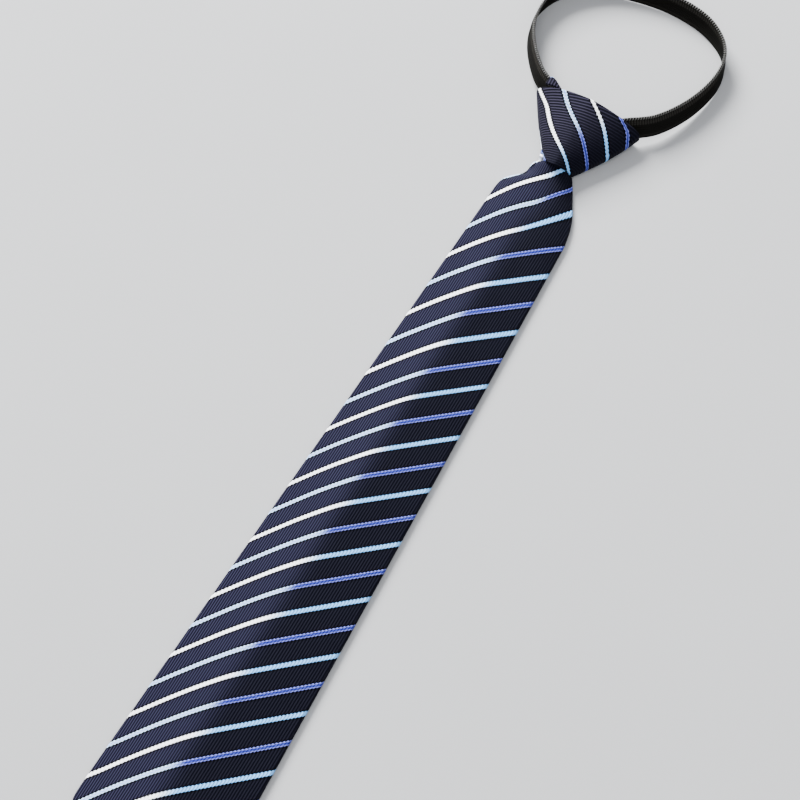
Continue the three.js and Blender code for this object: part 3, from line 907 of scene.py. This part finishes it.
def tape_frames(count):
    """Middle, across and outward directions of the tape at even steps along it, with the length run."""
    middles = []
    leans = []
    for across, along, lift, lean_degrees in LOOP_ROWS:
        lean = math.radians(lean_degrees)
        rise = TAPE_WIDTH / 2 * math.cos(lean) + (TAPE_THICKNESS / 2 + TAPE_CREASE) * abs(math.sin(lean))
        x = across * LOOP_HALF_WIDTH
        y = KNOT_TOP_Y + along * LOOP_DEPTH
        middles.append(Vector((x, y, lift * TAPE_EXIT_HEIGHT + rise)))
        leans.append(Vector((lean, 0, 0)))
    fine = 4000
    line = [catmull(middles, i / fine) for i in range(fine + 1)]
    run = run_lengths(line)
    frames = []
    at = 0
    for i in range(count + 1):
        wanted = run[-1] * i / count
        while at < fine and run[at] < wanted:
            at += 1
        t = at / fine
        along = (line[min(at + 3, fine)] - line[max(at - 3, 0)]).normalized()
        inward = Vector((along.y, -along.x, 0)).normalized()
        upright = along.cross(inward).normalized()
        if upright.z < 0:
            upright = -upright
        lean = catmull(leans, t).x
        cross = upright * math.cos(lean) + inward * math.sin(lean)
        face = cross.cross(along).normalized()
        frames.append((catmull(middles, t), cross, face, wanted))
    return frames


def tape_point(tape_frame, up, out):
    middle, cross, face, run = tape_frame
    return middle + cross * up + face * out


def make_tape():
    """The woven tape: its creased band with rounded edges, and the thin lip that carries the teeth."""
    half = TAPE_WIDTH / 2
    band_steps = 20
    lip_steps = 3
    outline = []
    for i in range(band_steps + 1):
        up = mix(-half, half, i / band_steps)
        crease = TAPE_CREASE * (1 - abs(up) / half)
        past = (abs(up) - half + TAPE_EDGE_ROUNDING) / TAPE_EDGE_ROUNDING
        outline.append((up, crease, TAPE_THICKNESS / 2 * (1 - TAPE_EDGE_THINNING * rounded(past))))
    for i in range(lip_steps + 1):
        outline.append((half + mix(TAPE_LIP_START, TAPE_LIP, i / lip_steps), 0, TAPE_LIP_THICKNESS / 2))
    rows = ([], [], [])
    for tape_frame in tape_frames(TAPE_RINGS):
        outer = [tape_point(tape_frame, up, crease + thick) for up, crease, thick in outline]
        inner = [tape_point(tape_frame, up, crease - thick) for up, crease, thick in outline]
        run = tape_frame[3]
        marks = [((up * MM, run * MM), (up / half, 0)) for up, crease, thick in outline]
        add_ring(rows, outer, inner, marks)
    return skin("zip_tape_woven", *rows)


def make_coil():
    """The row of teeth is one nylon wire wound in flattened turns along the tape's inner edge."""
    frames = tape_frames(COIL_LINE_STEPS)
    length = frames[-1][3]
    steps = int(length / TOOTH_PITCH) * COIL_TURN_STEPS
    radius = (COIL_DIAMETER - TOOTH_WIRE) / 2
    middle = TAPE_WIDTH / 2 + GAP + COIL_DIAMETER / 2
    path = []
    for i in range(steps + 1):
        tape_frame = frames[min(round(i / steps * COIL_LINE_STEPS), COIL_LINE_STEPS)]
        turn = 2 * math.pi * i / COIL_TURN_STEPS
        path.append(tape_point(tape_frame, middle + radius * math.cos(turn), radius * math.sin(turn)))
    return tube_mesh("zip_teeth_coil", [path], TOOTH_WIRE / 2, ROUND_SIDES)


# Materials

def new_material(name):
    material = bpy.data.materials.new(name)
    material.use_nodes = True
    return material


class Nodes:
    """Short ways to write a node material."""

    def __init__(self, material):
        self.tree = material.node_tree
        self.shader = self.tree.nodes["Principled BSDF"]

    def node(self, kind, **settings):
        node = self.tree.nodes.new(kind)
        for key, value in settings.items():
            setattr(node, key, value)
        return node

    def link(self, source, target):
        if isinstance(source, (int, float)):
            target.default_value = source
        elif isinstance(source, tuple):
            target.default_value = (*source, 1)
        else:
            self.tree.links.new(source, target)

    def put(self, value, name):
        """A value, colour or node output for one named input of the surface shader."""
        self.link(value, self.shader.inputs[name])

    def math(self, operation, a, b=0.0, c=0.0):
        node = self.node("ShaderNodeMath", operation=operation)
        for value, socket in zip((a, b, c), node.inputs):
            self.link(value, socket)
        return node.outputs[0]

    def times(self, a, b):
        return self.math("MULTIPLY", a, b)

    def rest(self, value):
        """What is left of 1."""
        return self.math("SUBTRACT", 1.0, value)

    def wave(self, place, pitch):
        """Sine wave along a place in metres, with its pitch in millimetres."""
        return self.math("SINE", self.times(place, 2 * math.pi / (pitch * MM)))

    def raised(self, wave):
        """A wave between -1 and 1 as one between 0 and 1."""
        return self.math("MULTIPLY_ADD", wave, 0.5, 0.5)

    def ramp(self, value, low, high):
        """Smooth rise from 0 at low to 1 at high."""
        node = self.node("ShaderNodeMapRange", interpolation_type="SMOOTHSTEP")
        self.link(value, node.inputs["Value"])
        node.inputs["From Min"].default_value = low
        node.inputs["From Max"].default_value = high
        return node.outputs["Result"]

    def blend(self, share, first, second):
        node = self.node("ShaderNodeMix", data_type="RGBA")
        self.link(share, node.inputs["Factor"])
        self.link(first, node.inputs[6])
        self.link(second, node.inputs[7])
        return node.outputs[2]

    def map_place(self, name):
        node = self.node("ShaderNodeUVMap", uv_map=name)
        split = self.node("ShaderNodeSeparateXYZ")
        self.tree.links.new(node.outputs["UV"], split.inputs[0])
        return split.outputs[0], split.outputs[1]

    def noise(self, scale, detail=3.0, stretch=(1, 1, 1)):
        place = self.node("ShaderNodeTexCoord").outputs["Object"]
        mapping = self.node("ShaderNodeMapping")
        mapping.inputs["Scale"].default_value = stretch
        self.link(place, mapping.inputs["Vector"])
        node = self.node("ShaderNodeTexNoise")
        node.inputs["Scale"].default_value = scale
        node.inputs["Detail"].default_value = detail
        self.tree.links.new(mapping.outputs[0], node.inputs["Vector"])
        return node.outputs["Fac"]

    def rough(self, grain, spread, least):
        """Roughness that varies with a grain, upwards from its least value."""
        self.put(self.math("MULTIPLY_ADD", grain, spread, least), "Roughness")

    def bump(self, height, depth):
        """Raised grain, its depth in millimetres."""
        node = self.node("ShaderNodeBump")
        node.inputs["Distance"].default_value = depth * MM
        node.inputs["Strength"].default_value = 1.0
        self.link(height, node.inputs["Height"])
        self.tree.links.new(node.outputs[0], self.shader.inputs["Normal"])


def stripe_colour(n, turn, blue, rim, twill, groove_shade):
    """Colour of the stripes' threads: white, or blue with a paler rim, both darker away from the light as
    painted shade, and with painted shade in the ribs' grooves.
    """
    white_turn = n.ramp(turn, *WHITE_TURN)
    blue_turn = n.ramp(turn, *BLUE_TURN)
    white = n.blend(white_turn, WHITE_LIT, WHITE_TURNED)
    blue_core = n.blend(blue_turn, BLUE_LIT, BLUE_TURNED)
    blue_rim = n.blend(blue_turn, BLUE_LIT_EDGE, BLUE_EDGE)
    thread = n.blend(blue, white, n.blend(rim, blue_core, blue_rim))
    tick = n.blend(blue_turn, WHITE_LIT, BLUE_TICK)
    thread = n.blend(n.times(n.times(n.raised(twill), blue), TICK_SHARE), thread, tick)
    # Painted shade in the ribs' grooves across the stripes
    groove_shade_colour = n.blend(n.times(blue, blue_turn), WHITE_GROOVE_SHADE, BLUE_GROOVE_SHADE)
    return n.blend(n.times(groove_shade, STRIPE_GROOVE_SHADE_SHARE), thread, groove_shade_colour)


def ground_colour(n, turn, rib, groove_shade, look):
    """Colour of the navy ribs: the ground in painted light and shade, with a random mottle, a painted
    highlight on the rib tops where lit, and painted shade, down to black, in their grooves.
    """
    # The ground in painted light and shade, by the turn
    ground_turn = n.ramp(turn, *GROUND_TURN)
    ground = n.blend(ground_turn, look["ground"], GROUND_SHADE_AND_MOTTLE)
    # Painted highlight on the rib tops, gone where the cloth is turned from the light
    lit = n.times(n.math("POWER", rib, LIT_RIB_POWER), n.rest(ground_turn))
    ribbed = n.blend(lit, ground, look["lit_rib"])
    # Painted shade in the grooves between the ribs, down to black
    ribbed = n.blend(n.times(groove_shade, GROOVE_SHADE_DARKNESS), ribbed, OUTLINE_AND_GROOVE_SHADE)
    return n.blend(n.times(n.noise(MOTTLE_SCALE, 4), MOTTLE_SHARE), ribbed, GROUND_SHADE_AND_MOTTLE)


def striped_cloth(name, look):
    """Navy rib cloth with alternate white and blue twill stripes, each outlined in black."""
    material = new_material(name)
    n = Nodes(material)
    places = n.map_place("cloth")
    # Stripe number, and the turn from the light that drives the painted light and shade
    number, turn = n.map_place("dyed")
    rib_phase = n.times(places[look["rib_axis"]], 2 * math.pi / (look["rib_pitch"] * MM))
    rib_wave = n.math("SINE", n.math("MULTIPLY_ADD", n.noise(RIB_WOBBLE_SCALE), RIB_WOBBLE, rib_phase))
    rib = n.raised(rib_wave)
    # Painted shade in the grooves between the ribs
    groove_shade = n.math("POWER", n.rest(rib), GROOVE_SHADE_POWER)
    twill = n.wave(n.math("ADD", n.times(places[0], TWILL_SLANT), places[1]), TWILL_PITCH)

    nearest = n.math("ROUND", number)
    off = n.times(n.math("ABSOLUTE", n.math("SUBTRACT", number, nearest)), look["stripe_gap"])
    half = look["stripe_share"] / 2 * look["stripe_gap"]
    stepped = n.math("MULTIPLY_ADD", rib_wave, STRIPE_STEP, off)
    stripe = n.rest(n.ramp(stepped, half - STRIPE_SOFTNESS, half + STRIPE_SOFTNESS))
    outline = n.rest(n.ramp(stepped, half + STRIPE_OUTLINE[0], half + STRIPE_OUTLINE[1]))
    blue = n.math("PINGPONG", nearest, 1.0)
    rim = n.ramp(off, half * BLUE_RIM[0], half * BLUE_RIM[1])
    outlined = n.blend(outline, ground_colour(n, turn, rib, groove_shade, look), OUTLINE_AND_GROOVE_SHADE)
    n.put(n.blend(stripe, outlined, stripe_colour(n, turn, blue, rim, twill, groove_shade)), "Base Color")

    n.rough(stripe, -0.06, n.math("MULTIPLY_ADD", n.noise(160), 0.12, 0.56))
    n.put(0.03, "Specular IOR Level")
    n.put((0.5, 0.55, 1), "Specular Tint")
    n.put(0.01, "Sheen Weight")
    n.put(0.35, "Sheen Roughness")
    n.put((0.55, 0.58, 0.85), "Sheen Tint")
    fine = n.wave(places[1 - look["rib_axis"]], FINE_PITCH)
    height = n.math("MULTIPLY_ADD", stripe, STRIPE_HEIGHT, rib)
    n.bump(n.math("MULTIPLY_ADD", fine, FINE_HEIGHT, height), CLOTH_RELIEF)
    return material


def tape_material():
    """Matt black woven tape: a herringbone of fine threads, a paler band near each edge, and the rungs
    that hold the teeth."""
    material = new_material("black_woven_tape")
    n = Nodes(material)
    across, along = n.map_place("cloth")
    side, nothing = n.map_place("dyed")
    slant = n.math("MULTIPLY_ADD", n.math("ABSOLUTE", across), HERRINGBONE_SLANT, along)
    weave = n.wave(slant, HERRINGBONE_PITCH)
    cords = n.wave(across, CORD_PITCH)
    from_band = n.math("ABSOLUTE", n.math("SUBTRACT", n.math("ABSOLUTE", side), TAPE_BAND_AT))
    band = n.ramp(from_band, *TAPE_BAND_SPAN)
    rungs = n.raised(n.wave(along, TOOTH_PITCH))
    sewn = n.ramp(side, *TAPE_SEWN_SPAN)
    colour = n.blend(n.times(n.raised(weave), 0.5), TAPE_DARK, TAPE_PALE)
    colour = n.blend(n.times(band, TAPE_BAND_SHARE), colour, TAPE_BAND)
    colour = n.blend(n.times(n.math("POWER", rungs, 2.0), sewn), colour, TAPE_SEWN)
    height = n.math("ADD", n.times(weave, 0.5), cords)
    height = n.math("MULTIPLY_ADD", n.times(rungs, sewn), TAPE_SEWN_HEIGHT, height)
    n.put(colour, "Base Color")
    n.rough(n.noise(120), 0.2, 0.62)
    n.put(0.02, "Specular IOR Level")
    n.bump(height, TAPE_RELIEF)
    return material


def thread_material():
    material = new_material("navy_sewing_thread")
    n = Nodes(material)
    strand = n.noise(1400, 2)
    n.put(n.blend(strand, (0.010, 0.010, 0.024), (0.030, 0.030, 0.062)), "Base Color")
    n.rough(strand, 0.2, 0.5)
    n.bump(strand, 0.04)
    return material


def nylon_material():
    material = new_material("black_nylon_teeth")
    n = Nodes(material)
    wear = n.noise(300, 2)
    n.put(n.blend(wear, (0.036, 0.035, 0.032), (0.090, 0.088, 0.082)), "Base Color")
    n.rough(wear, 0.15, 0.25)
    n.put(0.45, "Specular IOR Level")
    n.bump(n.noise(900, 2), 0.05)
    return material


def plastic_material():
    material = new_material("black_moulded_plastic")
    n = Nodes(material)
    grain = n.noise(700, 4)
    n.put(n.blend(grain, (0.012, 0.012, 0.013), (0.03, 0.03, 0.032)), "Base Color")
    n.rough(grain, 0.2, 0.4)
    n.bump(grain, 0.1)
    return material


def zinc_material():
    material = new_material("brushed_zinc")
    n = Nodes(material)
    brushed = n.noise(120, 4, (1, 30, 1))
    n.put(n.blend(brushed, (0.30, 0.30, 0.31), (0.48, 0.48, 0.49)), "Base Color")
    n.put(1, "Metallic")
    n.rough(brushed, 0.2, 0.25)
    n.bump(brushed, 0.05)
    return material


def floor_material():
    material = new_material("pale_floor")
    n = Nodes(material)
    n.put(n.blend(n.noise(6, 2), (0.275, 0.278, 0.282), (0.298, 0.301, 0.305)), "Base Color")
    n.put(0.85, "Roughness")
    return material


# Camera, floor and light


def make_camera():
    """The camera at its place, turned by its yaw, its pitch and its roll."""
    yaw_cosine = math.cos(CAMERA_YAW)
    yaw_sine = math.sin(CAMERA_YAW)
    flat = math.cos(CAMERA_PITCH)
    forward = Vector((-yaw_sine * flat, yaw_cosine * flat, -math.sin(CAMERA_PITCH)))
    right = Vector((yaw_cosine, yaw_sine, 0))
    down = forward.cross(right)
    rolled_right = math.cos(CAMERA_ROLL) * right + math.sin(CAMERA_ROLL) * down
    rolled_down = -math.sin(CAMERA_ROLL) * right + math.cos(CAMERA_ROLL) * down
    data = bpy.data.cameras.new("camera")
    data.sensor_width = CAMERA_SENSOR
    data.lens = CAMERA_LENS
    data.clip_start = 0.01
    data.clip_end = 20
    camera = bpy.data.objects.new("camera", data)
    turn = Matrix((rolled_right, -rolled_down, -forward)).transposed()
    camera.matrix_world = Matrix.Translation(CAMERA_PLACE * MM) @ turn.to_4x4()
    bpy.context.scene.collection.objects.link(camera)
    bpy.context.scene.camera = camera


def make_floor():
    mesh = bpy.data.meshes.new("floor")
    corners = [(-1, -1), (1, -1), (1, 1), (-1, 1)]
    mesh.from_pydata([(FLOOR_REACH * x, FLOOR_REACH * y, FLOOR_Z) for x, y in corners], [], [(0, 1, 2, 3)])
    floor = bpy.data.objects.new("floor", mesh)
    bpy.context.scene.collection.objects.link(floor)
    floor.data.materials.append(floor_material())


def make_lights():
    """Two area lights that face the tie, and an even sky."""
    for row in LIGHTS:
        data = bpy.data.lights.new(row["name"], "AREA")
        data.size = row["size"]
        data.energy = row["power"]
        light = bpy.data.objects.new(row["name"], data)
        light.location = LIGHT_AIM + Vector(row["from"]).normalized() * row["distance"]
        light.rotation_mode = "QUATERNION"
        light.rotation_quaternion = (light.location - LIGHT_AIM).to_track_quat("Z", "Y")
        bpy.context.scene.collection.objects.link(light)
    world = bpy.data.worlds.new("studio")
    world.use_nodes = True
    sky = world.node_tree.nodes["Background"]
    sky.inputs[0].default_value = SKY_COLOUR
    sky.inputs[1].default_value = SKY_STRENGTH
    bpy.context.scene.world = world


# Putting the pieces into the frame

def dress(piece, slot, material):
    """A piece that rides on the tie beside the solids."""
    piece.data.materials.append(material)
    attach(piece, "root")


def place(piece, node, slot, material):
    """A piece that takes the place of one solid."""
    dress(piece, slot, material)
    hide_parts(node)


def restyle(node, material):
    """A solid that keeps its shape and gets a material."""
    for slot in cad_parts[node].material_slots:
        slot.material = material


make_camera()
make_floor()
make_lights()

blade_cloth = striped_cloth("striped_blade_cloth", BLADE_LOOK)
knot_cloth = striped_cloth("striped_knot_cloth", KNOT_LOOK)
blade = make_blade()
pleat = make_blade_pleat()
stitches = make_stitches()
knot = make_knot_wrap()
fold = make_knot_fold()
under_layer = make_knot_under_layer()
tape = make_tape()
coil = make_coil()
place(blade, "blade", "striped_cloth", blade_cloth)
dress(pleat, "striped_cloth", blade_cloth)
dress(stitches, "striped_cloth", thread_material())
place(knot, "knot_wrap", "striped_cloth", knot_cloth)
place(fold, "knot_fold", "striped_cloth", knot_cloth)
place(under_layer, "knot_under_layer", "striped_cloth", knot_cloth)
place(tape, "zip_tape", "zip_tape", tape_material())
place(coil, "zip_coil", "zip_teeth", nylon_material())
restyle("knot_core", plastic_material())
restyle("zip_slider", zinc_material())
restyle("zip_tail", plastic_material())
